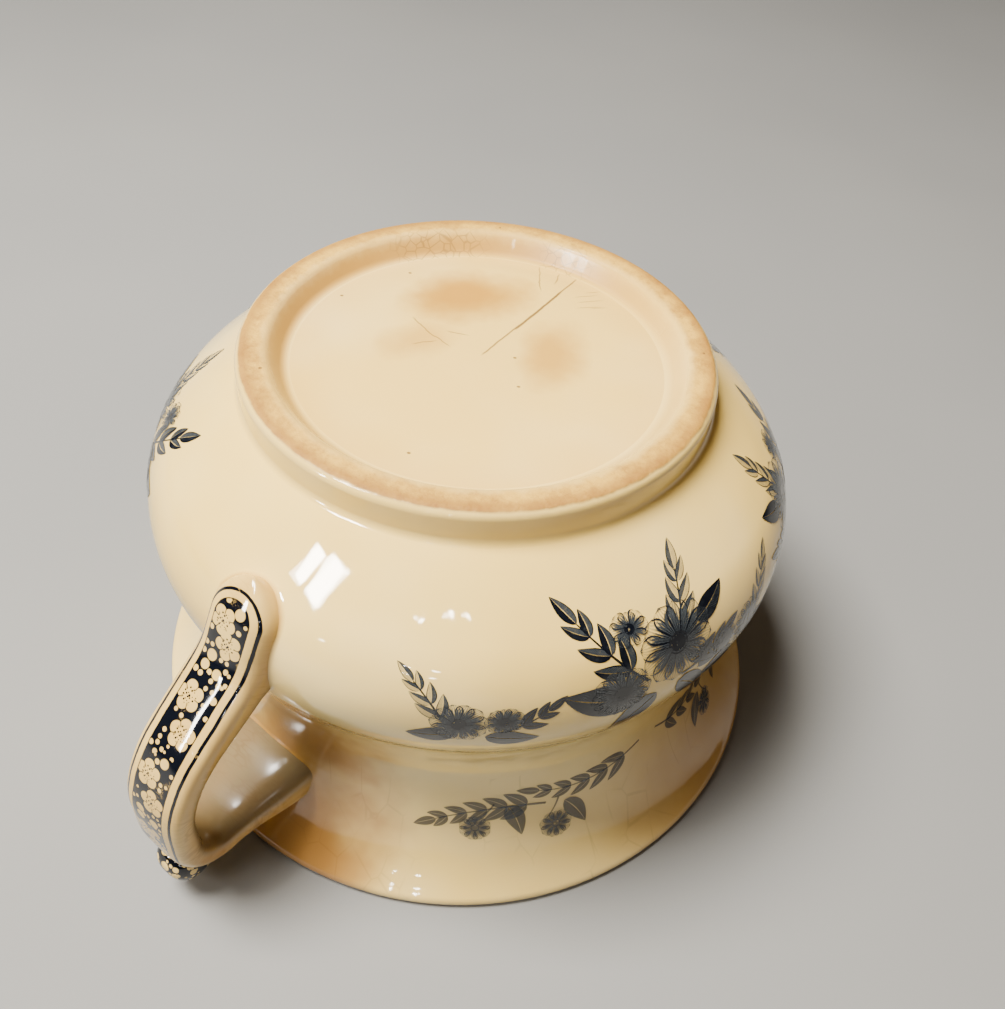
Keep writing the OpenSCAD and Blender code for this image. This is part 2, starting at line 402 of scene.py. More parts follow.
class StrapPath:
    """Middle line of the strap in its own upright plane: stations from the flare to the tongue's tip.

    A station is its middle, the direction out, the half width and how far the back is filled.
    """

    back_share = 0.15
    root_share = 0.35
    tip_share = 0.97
    steps = 14

    def __init__(self, s, form):
        self.sizes = s
        self.form = form
        self.half = s.strap_width / 2
        self.reach = -STRAP_LOW.y
        middle = self.reach - s.strap_thick / 2
        self.turn_c = Vector((middle - s.turn_arc, s.low_run + s.turn_arc))
        self.back_c = Vector((middle - s.back_arc, self.turn_c.y + s.grip_run))
        self.tongue_arc = form.sizes.bulge_arc + s.tongue_out - s.strap_thick / 2
        out = Vector((math.cos(s.back_turn), math.sin(s.back_turn)))
        self.root_rise = (self.back_c - form.bulge_c).dot(out) + s.back_arc
        self.root_turn = math.acos((self.root_rise + s.root_arc) / (self.tongue_arc + s.root_arc))
        self.root_c = polar(form.bulge_c, self.tongue_arc + s.root_arc, s.back_turn - self.root_turn)
        under = self.root_rise - s.strap_thick / 2 - s.root_fill * self.root_share
        low = s.back_turn - math.acos(under / form.sizes.bulge_arc)
        self.bed_run = form.sizes.bulge_arc * math.sin(s.tongue_end - low) - self.half + s.slip_margin
        parts = (self.low_end, self.lower_turn, self.back, self.root, self.tongue)
        self.stations = [station for part in parts for station in part()]
        self.lengths = self.measured()
        self.tongue_centre = self.lengths[-self.steps - 1]

    def shares(self):
        return [i / self.steps for i in range(self.steps + 1)]

    def low_end(self):
        s = self.sizes
        for t in self.shares()[:-1]:
            ease = (1 + math.cos(math.pi * t)) / 2
            radius = self.form.waist.x + (self.turn_c.x - self.form.waist.x) * t
            middle = Vector((radius, s.low_run))
            yield middle, -math.pi / 2, self.half + s.splay * ease, s.low_fill * ease

    def lower_turn(self):
        for t in self.shares():
            look = math.pi / 2 * (t - 1)
            yield polar(self.turn_c, self.sizes.turn_arc, look), look, self.half, 0

    def back(self):
        s = self.sizes
        for t in self.shares():
            look = s.back_turn * t
            swell = s.root_fill * self.back_share * t * t
            yield polar(self.back_c, s.back_arc, look), look, self.half, swell

    def root(self):
        s = self.sizes
        for t in self.shares():
            look = s.back_turn - self.root_turn * t
            swell = s.root_fill * (self.root_share + (1 - self.root_share) * t)
            yield polar(self.root_c, -s.root_arc, look), look, self.half, swell

    def tongue(self):
        s = self.sizes
        for t in self.shares():
            a = math.pi / 2 * t * self.tip_share
            look = s.tongue_end + math.asin(self.half * math.sin(a) / self.tongue_arc)
            middle = polar(self.form.bulge_c, self.tongue_arc, look)
            yield middle, look, self.half * math.cos(a), s.root_fill

    def measured(self):
        """Length along the strap's face up to each station."""
        faces = [polar(middle, self.sizes.strap_thick / 2, look) for middle, look, _, _ in self.stations]
        lengths = [0.0]
        for near, far in zip(faces, faces[1:]):
            lengths.append(lengths[-1] + (far - near).length)
        return lengths


class Outline:
    """A line in the XZ half plane, drawn with straights and arcs and then turned on the Z axis."""

    nearest = 0.001 * MM

    def __init__(self, start):
        self.bm = bmesh.new()
        self.tip = self.bm.verts.new((start[0], 0, start[1]))

    def to(self, *points):
        """Straights from point to point."""
        for x, z in points:
            self.tip = bmesh.ops.extrude_vert_indiv(self.bm, verts=[self.tip])["verts"][0]
            self.tip.co = (x, 0, z)

    def arc(self, centre, angle, steps):
        """An arc about a centre, counter-clockwise for a positive angle."""
        cent = (centre[0], 0, centre[1])
        made = bmesh.ops.spin(
            self.bm, geom=[self.tip], cent=cent, axis=(0, 1, 0), angle=-angle, steps=steps
        )
        self.tip = [v for v in made["geom_last"] if isinstance(v, bmesh.types.BMVert)][0]

    def turned(self, steps):
        bm = self.bm
        bmesh.ops.remove_doubles(bm, verts=bm.verts, dist=self.nearest)
        line = bm.verts[:] + bm.edges[:]
        bmesh.ops.spin(
            bm, geom=line, cent=(0, 0, 0), axis=(0, 0, 1), angle=math.tau, steps=steps, use_merge=True
        )
        bmesh.ops.remove_doubles(bm, verts=bm.verts, dist=self.nearest)
        return bm


def leg(longest, side):
    """Third side of a right triangle."""
    return math.sqrt(longest * longest - side * side)


def polar(centre, radius, angle):
    """Point of a plane at a distance and an angle from a centre."""
    return centre + radius * Vector((math.cos(angle), math.sin(angle)))


def heading(point, centre, flip=False):
    """Angle between the level line from a centre inwards and a point below it, or above it if flipped."""
    away = centre - point
    return math.atan2(-away.y if flip else away.y, away.x)


def squared(value, power):
    """A coordinate on a circle moved out towards a square: not at all at a power of 2."""
    return math.copysign(abs(value) ** (2 / power), value)


def sizes_of(context):
    """The pot's curves, the handle's sizes and the colours that the user has set."""
    scene = context.scene
    return PotForm(scene.pot_body), scene.pot_handle, scene.pot_colours


def placed(name, data):
    """An object of the scene that shows some data."""
    made = bpy.data.objects.new(name, data)
    bpy.context.scene.collection.objects.link(made)
    return made


def meshed(name, bm, material):
    """An object made from a bmesh, which it uses up."""
    mesh = bpy.data.meshes.new(name)
    bm.to_mesh(mesh)
    bm.free()
    mesh.materials.append(material)
    return placed(name, mesh)


def finished(name, bm, material, nodes, crease=40):
    """Makes a bmesh an object of the pot that rides on the frame and stands for its CAD nodes."""
    bmesh.ops.recalc_face_normals(bm, faces=bm.faces)
    for face in bm.faces:
        face.smooth = True
    piece = meshed(name, bm, material)
    piece.data.set_sharp_from_angle(angle=math.radians(crease))
    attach(piece, BODY)
    if nodes:
        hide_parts(*nodes)
    return piece


def ring(bm, count):
    """A closed loop of vertices and its edges, to be put in place one by one."""
    verts = bmesh.ops.create_circle(bm, segments=count, radius=1.0)["verts"]
    edges = list({e for v in verts for e in v.link_edges})
    return verts, edges


def skinned(bm, loops, closed=False):
    """Bridges each loop of edges to the next one."""
    pairs = list(zip(loops, loops[1:]))
    if closed:
        pairs.append((loops[-1], loops[0]))
    for near, far in pairs:
        bmesh.ops.bridge_loops(bm, edges=near + far)


GLAZE_ROUGHNESS = 0.03
GLAZE_COAT = 0.35
GLAZE_IOR = 1.52
BISCUIT_IOR = 1.5


def glaze_tone(f, c):
    """Cream glaze with slow drifts of tone."""
    drift = f.noise(85).step(0.35, 0.68)
    return f.blend(drift, c.cream, c.ivory)


def glaze_dirt(f, c, colour, share=0.5):
    """Pin holes and small dark specks in a glaze."""
    pins = f.spots(13, 0.32, 0.22 * share)
    flecks = f.spots(31, 0.6, 0.3 * share)
    return f.blend(pins.at_least(flecks) * 0.75, colour, c.soot)


def glaze_skin(f, colour, rough=GLAZE_ROUGHNESS, wobble=1.0, dents=0.0, coat=GLAZE_COAT, **more):
    """Clear glaze: a smooth coat that wavers a little, as if poured; dents are in millimetres."""
    swell = f.noise(26, 1.0) * 0.5 + f.noise(9, 1.0) * 0.1
    gloss = f.noise(14, 4.0) * 0.03 + rough
    normal = f.relief(swell * wobble + dents, 1.0)
    return f.surface(
        Base_Color=colour,
        Roughness=gloss,
        Normal=normal,
        IOR=GLAZE_IOR,
        Coat_Weight=coat,
        Coat_Roughness=GLAZE_ROUGHNESS,
        **more,
    )


# Stains by the handle's root, at the waist, on one side and behind: place in mm, end, full, strength. The
# one at the waist by the handle is partly painted shade, where the handle and the belly shadow the waist.
FLARE_STAINS_AND_SHADE = (
    ((6, -100, 12), 52, 18, 0.85),
    # Partly painted shade: brown where the handle and the belly shadow the waist
    ((10, -90, 44), 36, 8, 0.85),
    ((102, 16, 10), 72, 12, 0.6),
    ((-70, 74, 6), 60, 10, 0.4),
)
# Stains on the base panel: ellipse in mm and degrees, end and full as shares of it, strength
PANEL_STAINS = (
    ((-23, 22, 29, 19, 48), 1.05, 0.2, 1.0),
    ((-18.5, -6.5, 20, 15, 60), 1.0, 0.1, 0.6),
    ((14.5, 16.5, 25, 15, 117), 1.05, 0.15, 0.8),
)
# Lines on the base panel, from and to in mm
HAIRLINES = ((-0.2, 1.6, -3.6, 53.6), (-0.9, 18, -2.7, 44))
TWIGS = (
    (-27, 1.4, -9.4, -2),
    (-15, 3.4, -8.8, 6),
    (-18, -8.3, -14, -2.4),
    (-16, 51, -7.8, 40),
    (-9, 52, -6.5, 46),
)
SCRATCHES = (
    (2, 44.5, 6.5, 50.5),
    (4.5, 43, 9.5, 49.5),
    (6, 40.5, 11, 46),
    (3, 49, 6, 53),
    (9, 43, 12.5, 47),
)
# Kinds of line: their places, width in mm, share of the waver, strength
PANEL_LINES = ((HAIRLINES, 0.42, 0.5, 0.7), (TWIGS, 0.34, 1.6, 0.55), (SCRATCHES, 0.3, 0.4, 0.4))
# Small dark specks on the base panel: places in mm, and their half lengths and turn
SPECKS = ((-43.7, 18.6), (-50, -5.2), (7.5, 7.1), (16.4, -2.6), (12.4, -43.4))
SPECK = (0.65, 0.5, 30)
# Crazed places on the foot ring: x and y in mm, end, full
CRAZED = ((-46, 35, 20, 8), (-10, 57, 12, 5))
CRAZED_DROP = 3
# Heights in mm between which the strap browns towards its roots on the belly and on the flare; towards the
# flare the browning is partly painted shade
UPPER_ROOT = (80, 96)
UPPER_TAN = (78, 92)
LOWER_ROOT = (42, 22)
STRAP_WOBBLE = 0.6
# Side of the spur, in mm from the middle plane, at which its print fades out
SPUR_FADE = (6.3, 5.9)


def strongest(shares):
    """The largest of some shares, place by place."""
    return functools.reduce(Wire.at_least, shares)


def flare_stain_and_shade(f):
    """Share of rusty stain towards the rim and by the handle, with painted shade at the waist by the
    handle.
    """
    waver = f.waver(26, 18)
    return strongest(
        (f.far_from(*place) + waver).step(end, full) * strength
        for place, end, full, strength in FLARE_STAINS_AND_SHADE
    )


def rusty_shaded_glaze(f, c):
    """Cream glaze with the rusty stains of the flare and the painted shade at the waist by the handle."""
    return f.blend(flare_stain_and_shade(f), glaze_tone(f, c), c.rust)


def bowl_finish(form, c):
    """Cream glaze with tea stains, hairlines, scratches and specks on the base panel."""
    f = Finish("bowl_glaze")
    x, y, z = f.split(f.mm)
    colour = rusty_shaded_glaze(f, c)
    base = form.base_z / MM
    panel = z.step(base - 1.5, base - 0.4)
    waver = f.waver(16, 0.35)
    stain = strongest(
        (f.pool(*place) + waver).step(end, full) * strength
        for place, end, full, strength in PANEL_STAINS
    )
    edge = (f.length(x, y) + waver * 8).step(38, 57) * 0.2 + 0.17
    colour = f.blend(stain.at_least(edge) * panel * 0.9, colour, c.tea)
    drift = f.waver(9, 1.1)
    marks = 0.0
    for lines, width, wavering, strength in PANEL_LINES:
        for line in lines:
            marks = f.stroke(*line, width, drift * wavering) * strength + marks
    for place in SPECKS:
        marks = f.pool(*place, *SPECK).step(1.0, 0.6) * 0.8 + marks
    colour = f.blend((marks * panel).at_most(0.85), colour, c.soot)
    colour = glaze_dirt(f, c, colour)
    return glaze_skin(f, colour, dents=stain * panel * -0.45)


def neck_finish(c):
    """Cream glaze with rusty stains towards the rim and by the handle's root, and painted shade at the
    waist by the handle.
    """
    f = Finish("neck_glaze")
    colour = rusty_shaded_glaze(f, c)
    x, y, z = f.split(f.mm)
    lines = f.crazing(9, 0.3, f.joined(x, y, z * 0.3)) * f.noise(40).step(0.52, 0.6) * 0.12
    colour = f.blend(lines, colour, c.soot)
    colour = glaze_dirt(f, c, colour)
    return glaze_skin(f, colour)


def foot_finish(form, c):
    """Glazed sides, an inner slope browned with tea stain and painted shade, and a bare, scuffed strip
    that stands on the table.
    """
    f = Finish("foot_biscuit")
    x, y, z = f.split(f.mm)
    inner = (form.sizes.foot_radius - form.sizes.foot_width) / MM
    outer = form.sizes.foot_radius / MM
    high = form.height / MM
    out = f.length(x, y)
    ragged = f.waver(4, 1.2, 4.0)
    top = z.step(high - 1.0, high - 0.35)
    bare = (out + ragged * 1.6).step(inner - 0.4, inner + 4.2) * top
    bare = bare * (out + ragged * 0.5).step(outer - 0.6, outer - 1.6)
    blotch = f.noise(10, 5.0, 0.7).step(0.36, 0.64)
    grit = f.noise(1.7, 4.0, 0.75).step(0.42, 0.74)
    clay = f.blend(blotch * 0.45 + grit * 0.3, c.biscuit, c.scuff)
    clay = f.blend((out + ragged).step(outer - 5.6, outer - 2.4) * 0.6, clay, c.scuff)
    smudge = f.noise(6, 5.0, 0.7).step(0.55, 0.72) * f.noise(1.1, 3.0, 0.7).step(0.35, 0.6)
    clay = f.blend((smudge * 0.35).at_least(f.spots(5, 0.45, 0.2) * 0.7), clay, c.soot)
    # The inner slope's brown is partly tea stain and partly painted shade, darker towards minus x where
    # the cove lies in shade
    stain_and_left_shade = 0.35 + (x - y * 0.4).step(40, -50) * 0.45
    slope = (out + ragged).step(inner + 3.5, inner - 1) * out.step(inner - 5.5, inner - 2) * stain_and_left_shade
    sides = f.blend(slope, glaze_tone(f, c), c.tea)
    patch = strongest(
        f.far_from(px, py, high - CRAZED_DROP).step(end, full) for px, py, end, full in CRAZED
    )
    sides = f.blend(f.crazing(3.1, 0.24) * patch * 0.38, sides, c.soot)
    colour = f.blend(bare, sides, clay)
    height = f.noise(1.2, 4.0) * bare
    return f.surface(
        Base_Color=colour,
        Roughness=0.1 + bare * 0.6 + slope * 0.4,
        Coat_Weight=GLAZE_COAT * (1 - bare.at_least(slope)),
        Normal=f.relief(height, 0.25),
        IOR=BISCUIT_IOR,
        Coat_Roughness=GLAZE_ROUGHNESS,
    )


class Border:
    """Printed border on the strap's face, in mm: a dark band of blossoms and dots, a cream strip, a line.

    Rows of blossoms are given by their start, side and seed, and dots by their spacing, radius and share.
    """

    band = 6.1
    line = 8.45
    spacing = 25.0
    slide = 3.0
    sway = 0.6
    petals = 5
    petal_out = 2.5
    petal_radius = 1.85
    rows = ((11.8, -2.2, 3.0), (3.8, 1.9, 7.0))
    large = (4.6, 1.65, 0.9)
    small = (2.2, 0.72, 0.85)

    def __init__(self, f, along, across):
        """The border's middle line ends where along is 0, at the centre of the tongue's round end."""
        self.f = f
        self.along = along
        self.across = across

    def edge(self, u, v):
        """Distance from the band's middle line."""
        return self.f.length(u.at_least(0), v)

    def blossom_at(self, u, v, start, side, seed):
        """Place relative to the nearest blossom of a row, and that blossom's chance turn."""
        f = self.f
        count = ((u - start) / self.spacing).floor()
        flat = {"noise_dimensions": "2D"}
        dice = f.node("ShaderNodeTexWhiteNoise", flat, {"Vector": f.joined(count, seed, 0)}, "Color")
        chance, spin, _ = f.split(dice)
        near_u = (u - start) % self.spacing - self.spacing / 2 + (chance - 0.5) * self.slide
        return near_u, v - side + (spin - 0.5) * self.sway, spin

    def room(self, u, v, margin):
        """1 where a dot stands clear of the blossoms and of the band's edge."""
        clear = self.edge(u, v) < self.band - margin
        for row in self.rows:
            near_u, near_v, _ = self.blossom_at(u, v, *row)
            clear = clear * (self.f.length(near_u, near_v) > self.petal_out + self.petal_radius + margin)
        return clear

    def dots(self, u, v, size, grow=0.0, clear_of=None):
        """Round dots of one size, and none whose middle lies too near to something else."""
        f = self.f
        period, radius, share = size
        cell = f.cells(period, vector=f.joined(u, v, 0), flat=True, scatter=0.75)
        middle_u, middle_v, _ = f.split(cell.output("Position"))
        lot, chance, _ = f.split(cell.output("Color"))
        reach = ((0.6 + 0.6 * chance) * radius + grow) / period
        made = (cell / reach).step(1.1, 0.9) * (lot < share) * self.room(middle_u, middle_v, radius * 0.8)
        if clear_of:
            made = made * (self.dots(middle_u, middle_v, clear_of, radius) < 0.5)
        return made

    def blossom(self, row):
        """Pale shape of the blossoms of a row, without their dark folds, eyes and freckles."""
        f = self.f
        u, v, spin = self.blossom_at(self.along, self.across, *row)
        reach = f.length(u, v)
        sector = math.tau / self.petals
        angle = (v.maths("ARCTAN2", v, u) + spin * 6) % sector - sector / 2
        petal = f.length(reach * angle.maths("COSINE", angle) - self.petal_out, reach * angle.sine())
        shape = petal.step(self.petal_radius + 0.1, self.petal_radius - 0.1)
        shape = shape.at_least(reach.step(1.5, 1.3))
        folds = ((sector / 2 - abs(angle)) * reach).step(0.22, 0.1) * reach.step(1.6, 2.2) * 0.8
        eye = reach.step(0.45, 0.3)
        freckles = f.spots(0.9, 0.26, 0.85, f.joined(u, v, 0), True) * reach.step(2.7, 2.1)
        return shape * (1 - eye.at_least(freckles).at_least(folds))

    def colour(self, c, ground):
        """The border's ink over a ground colour, worn in places."""
        f = self.f
        edge = self.edge(self.along, self.across) + f.waver(7, 0.2, 2.0)
        line = abs(edge - self.line).step(0.52, 0.36) * f.noise(4, 3.0).step(0.2, 0.32)
        pale = self.dots(self.along, self.across, self.large)
        pale = pale.at_least(self.dots(self.along, self.across, self.small, clear_of=self.large))
        for row in self.rows:
            pale = pale.at_least(self.blossom(row))
        pale = pale * edge.step(self.band - 0.2, self.band - 0.45)
        worn = f.noise(7, 2.0).step(0.58, 0.72) * f.noise(0.7, 3.0, 0.7).step(0.5, 0.6) * 0.3
        dark = (1 - pale * 0.97) * (1 - worn) * edge.step(self.band + 0.12, self.band - 0.12)
        return f.blend(dark.at_least(line), ground, c.ink)


def strap_finish(path, c):
    """Crazed, tanned glaze with the printed border on the strap's face, painted shade inside the loop, and
    a browning at the lower root that is partly painted shade.
    """
    f = Finish("handle_glaze")
    along, across, depth = f.split(f.attribute("strap_map"))
    _, _, z = f.split(f.mm)
    tan = f.noise(22, 3.0).step(0.3, 0.75) * 0.3 + 0.2
    ground = f.blend(tan, glaze_tone(f, c), c.tea)
    flank = depth.step(0.8, 0.1)
    inside = depth.step(0.0, -0.8)
    roots = (z.step(*UPPER_ROOT) * 0.5).at_least(z.step(*LOWER_ROOT) * 0.9)
    ground = f.blend(flank * (1 - inside) * (0.25 + z.step(*UPPER_TAN) * 0.2), ground, c.tea)
    # Painted shade: the inside of the loop is darkened where the strap shadows it
    ground = f.blend(inside * 0.9, ground, c.shade)
    # Rusty stain at the roots; at the lower root it is made strong as painted shade under the loop
    browned_and_shaded = flank * roots * (1 - inside * 0.8) * f.noise(9, 3.0).step(0.2, 0.75)
    ground = f.blend(browned_and_shaded * 0.7, ground, c.rust)
    across_strap = f.joined(along * 4.4, across, depth * 5)
    lines = f.crazing(7, 0.9, across_strap) * f.noise(14).step(0.42, 0.62)
    ground = f.blend(lines * 0.2 * (0.4 + flank * 0.6), ground, c.soot)
    face = depth.step(0.35, 0.55)
    printed = Border(f, along - path.tongue_centre / MM, across).colour(c, ground)
    colour = f.blend(face, ground, printed)
    return glaze_skin(f, colour, GLAZE_ROUGHNESS + inside * 0.12, STRAP_WOBBLE, coat=0.0)


def spur_finish(c):
    """Dark print with pale dots under clear glaze."""
    f = Finish("spur_glaze")
    x, _, _ = f.split(f.mm)
    dots = f.spots(3.3, 1.5, 0.9).at_least(f.spots(2.0, 0.8, 0.7))
    ground = f.blend(0.2, glaze_tone(f, c), c.tea)
    colour = f.blend((1 - dots * 0.97) * x.step(*SPUR_FADE), ground, c.ink)
    return glaze_skin(f, colour, wobble=STRAP_WOBBLE, coat=0.0)


def slip_finish(c):
    """Glaze over the joint, browner and darker towards the strap."""
    f = Finish("slip_glaze")
    inwards, _, _ = f.split(f.attribute("slip_map"))
    blotch = f.noise(7, 4.0).step(0.25, 0.75)
    colour = rusty_shaded_glaze(f, c)
    colour = f.blend(inwards.step(0.05, 0.7) * (0.4 + blotch * 0.2), colour, c.tea)
    colour = f.blend(inwards.step(0.35, 0.9) * (0.35 + blotch * 0.4), colour, c.rust)
    colour = f.blend(inwards.step(0.6, 0.85) * (0.15 + blotch * 0.45), colour, c.soot)
    return glaze_skin(f, colour)


LEAF, PETAL, STEM, SEED = 0.0, 1.0, 2.0, 3.0
PRINT_LIFT = 0.06 * MM
PRINT_STEP = 0.004 * MM


def print_finish(c, name, strength):
    """Engraved print under the glaze: hatched leaves, streaked petals, stems and seed heads."""
    f = Finish(name)
    along, across, style = f.split(f.attribute("print_map"))
    kind = style.floor()
    pale = (style - kind) * 2
    side = abs(across)
    rim = side.step(0.8, 0.92)
    hatch = (along * 105 - side * 30).sine().step(-0.4, 0.6)
    shaded = 0.72 + 0.4 * across.step(0.15, -0.15) + hatch * 0.3 - pale * 0.85
    leaf = shaded * side.step(0.02, 0.09) + rim * 0.6
    streak = (across * 24 + along * 6).sine().step(-0.3, 0.6)
    outline = rim.at_least(along.step(0.9, 0.97))
    petal = along.step(0.85, 0.1) * 0.8 + streak * 0.45 + outline * 0.7 - pale * 0.3
    seed = 1 - f.spots(1.2, 0.36, 0.8) * 0.8
    tones = {LEAF: leaf, PETAL: petal, STEM: 0.9, SEED: seed}
    tone = sum((abs(kind - value) < 0.5) * tone for value, tone in tones.items())
    tone = tone.at_most(1) * (0.8 + 0.2 * f.noise(2.0, 4.0, 0.65).step(0.3, 0.6))
    colour = f.blend(tone.step(0.15, 0.95) * strength, c.slate, c.ink)
    return glaze_skin(f, colour, Alpha=tone.step(0.0, 0.55) * strength)


def leaf_width(t):
    return math.sin(math.pi * t ** 0.75) ** 0.85


def petal_width(t):
    return math.sin(math.pi * min(1.0, 0.08 + 0.92 * t) ** 1.7) ** 0.6


def stem_width(t):
    return 1.0 - 0.6 * t


WIDTHS = {LEAF: leaf_width, PETAL: petal_width, STEM: stem_width}


def bent(x, y, degrees, long, bend, t):
    """Point and direction at a share t of an arc that starts at x, y and bends by some degrees."""
    first, change = math.radians(degrees), math.radians(bend or 0.01)
    angle = first + change * t
    mid_x = x + long * (math.sin(angle) - math.sin(first)) / change
    mid_y = y - long * (math.cos(angle) - math.cos(first)) / change
    return mid_x, mid_y, angle


class Spray:
    """Printed leaves, petals and stems laid on the pot's outside about one place, in millimetres.

    Petals and hearts are shares of a blossom's reach. A leaf's width is a share of its length, and its
    angle to the stem closes towards the tip. The tip's own leaf is a share of the first one's length.
    """

    petal_start = 0.2
    petal_width = 2.3
    petal_steps = 8
    heart = 0.26
    heart_sides = 20
    stem_width = 0.9
    leaf_width = 0.42
    leaf_bend = 24
    leaf_angle = 48
    leaf_closing = 12
    tip_leaf = (0.8, 0.34)
    blade_rows = 4

    def __init__(self, bm, form, azimuth, up, flip=1, scale=1.0):
        self.bm = bm
        layers = bm.verts.layers.float_vector
        self.layer = layers.get("print_map") or layers.new("print_map")
        self.form = form
        self.azimuth = math.radians(azimuth)
        self.up = up
        self.flip = flip
        self.scale = scale
        self.lift = PRINT_LIFT

    def put(self, vert, x, y):
        """Lays a vertex on the pot."""
        place = (self.flip * x * self.scale * MM, (self.up + y * self.scale) * MM)
        vert.co = self.form.on_outside(self.azimuth, *place, self.lift)

    def blade(self, kind, x, y, degrees, long, wide, bend=0.0, steps=14, pale=0.0):
        """A leaf, petal or stem that starts at x, y, and bends on its way; pale is below 0.5."""
        self.lift += PRINT_STEP
        grid = bmesh.ops.create_grid(self.bm, x_segments=steps, y_segments=self.blade_rows, size=1.0)
        for vert in grid["verts"]:
            t, w = (vert.co.x + 1) / 2, vert.co.y
            mid_x, mid_y, angle = bent(x, y, degrees, long, bend, t)
            off = w * wide / 2 * WIDTHS[kind](t)
            vert[self.layer] = (t, w, kind + pale)
            self.put(vert, mid_x - off * math.sin(angle), mid_y + off * math.cos(angle))

    def seeds(self, x, y, radius):
        """A round head of seeds, as at a blossom's heart."""
        self.lift += PRINT_STEP
        disc = bmesh.ops.create_circle(self.bm, cap_ends=True, segments=self.heart_sides, radius=radius)
        for vert in disc["verts"]:
            vert[self.layer] = (0.5, 0.0, SEED)
            self.put(vert, x + vert.co.x, y + vert.co.y)

    def daisy(self, x, y, reach, petals, tilt=0.0, squash=1.0, pale=0.0):
        """An open blossom with petals round a head of seeds."""
        start = self.petal_start
        wide = self.petal_width * reach * math.sin(math.pi / petals)
        for i in range(petals):
            a = math.tau * i / petals + math.radians(tilt)
            long = reach * (squash + (1 - squash) * abs(math.cos(a)))
            root = (x + start * long * math.cos(a), y + start * long * math.sin(a))
            way = math.degrees(a)
            self.blade(PETAL, *root, way, (1 - start) * long, wide, 0, self.petal_steps, pale)
        self.seeds(x, y, self.heart * reach)

    def sprig(self, x, y, degrees, long, pairs, leaf, bend=0.0, pale=0.0):
        """A stem with pairs of leaves that grow smaller towards its tip."""
        self.blade(STEM, x, y, degrees, long, self.stem_width, bend)
        for i in range(pairs):
            t = (i + 1) / (pairs + 0.6)
            leaf_x, leaf_y, angle = bent(x, y, degrees, long, bend, t)
            size = leaf * (1.1 - 0.5 * t)
            for side in (-1, 1):
                way = math.degrees(angle) + side * (self.leaf_angle - self.leaf_closing * t)
                wide = size * self.leaf_width
                self.blade(LEAF, leaf_x, leaf_y, way, size, wide, -side * self.leaf_bend, pale=pale)
        end_x, end_y, angle = bent(x, y, degrees, long, bend, 1.0)
        long, wide = (leaf * share for share in self.tip_leaf)
        self.blade(LEAF, end_x, end_y, math.degrees(angle), long, wide, pale=pale)


def big_spray(bm, form, azimuth, flip):
    """Two daisies and a bud over spreading sprigs."""
    spray = Spray(bm, form, azimuth, 60, flip)
    spray.sprig(-3, -6, 116, 24, 4, 10, -16, 0.4)
    spray.sprig(5, -8, 44, 26, 3, 11, 18, 0.15)
    spray.sprig(-6, -12, 176, 16, 2, 10, -20)
    spray.blade(LEAF, 6, -12, 4, 24, 11, 24)
    spray.blade(LEAF, 2, -14, 322, 18, 9, -26)
    spray.blade(LEAF, -5, -14, 214, 17, 8.5, 28)
    spray.blade(LEAF, -12, 2, 168, 13, 6.5, -26)
    spray.daisy(-5, -1, 12, 12, 12, 0.94, 0.4)
    spray.daisy(13, -9, 8.8, 10, 30, 0.82, 0.2)
    spray.daisy(8, 8, 5.6, 8, 5, 0.75, 0.45)


def small_spray(bm, form, azimuth, flip):
    """One daisy between two short sprigs, low on the belly."""
    spray = Spray(bm, form, azimuth, 48, flip, 0.95)
    spray.sprig(-7, -2, 112, 17, 3, 8, 20, 0.4)
    spray.sprig(8, -3, 20, 13, 2, 8, 20)
    spray.blade(LEAF, 3, -5, 342, 15, 7, 20)
    spray.blade(LEAF, -5, -4, 196, 13, 6.5, -20)
    spray.daisy(-4, 0, 8, 11, 8, 0.85, 0.3)
    spray.daisy(8, 1, 5.6, 9, 20, 0.8, 0.1)


def garland(bm, form, azimuth, flip):
    """A lazy stem with leaves and small daisies, along the flare below the waist."""
    spray = Spray(bm, form, azimuth, -14, flip)
    spray.sprig(-33, 7, 334, 36, 5, 9.5, 42)
    spray.sprig(0, -2, 12, 34, 5, 9.5, -34)
    spray.blade(STEM, -4, -1, 284, 9, 0.7, 30)
    spray.daisy(-3, -11, 5.4, 9, 10, 0.85)
    spray.blade(LEAF, -6, -3, 226, 13, 6, 24)
    spray.blade(STEM, 16, 1, 296, 10, 0.7, 40)
    spray.daisy(22, -8, 5, 8, 25, 0.85)
    spray.blade(LEAF, 12, 0, 240, 13, 6, 24)


class POT_OT_bowl(bpy.types.Operator):
    """Turn the bowl: the belly, the closing dome and the base panel"""

    bl_idname = "pot.bowl"
    bl_label = "Bowl"
    lap = 0.5 * MM
    skin = 0.02 * MM
    panel_rings = 12
    outer_steps = (19, 44, 12)
    inner_steps = (8, 24, 10)

    def execute(self, context):
        form, _, colours = sizes_of(context)
        s = form.sizes
        line = Outline((form.waist.x - s.wall, form.waist.y))
        line.to(form.outside(-self.lap), form.outside(-self.lap, self.skin))
        flare, bulge, dome = self.outer_steps
        line.arc(form.flare_c, -form.belly_turn - self.lap / s.flare_arc, flare)
        line.arc(form.bulge_c, form.belly_turn + s.dome_turn, bulge)
        line.arc(form.dome_c, form.base_turn - s.dome_turn, dome)
        panel = line.tip.co.x
        rings = self.panel_rings
        line.to(*[(panel * (1 - i / rings), form.base_z) for i in range(1, rings + 1)])
        inner = form.dome_angle(s.wall)
        line.to((0, form.base_z - s.wall), polar(form.dome_c, form.dome_r - s.wall, inner))
        dome, bulge, flare = self.inner_steps
        line.arc(form.dome_c, s.dome_turn - inner, dome)
        line.arc(form.bulge_c, -form.belly_turn - s.dome_turn, bulge)
        line.arc(form.flare_c, form.belly_turn, flare)
        shell = line.turned(s.lathe_steps)
        finished("bowl_shell", shell, bowl_finish(form, colours), ["bowl"])
        return {"FINISHED"}


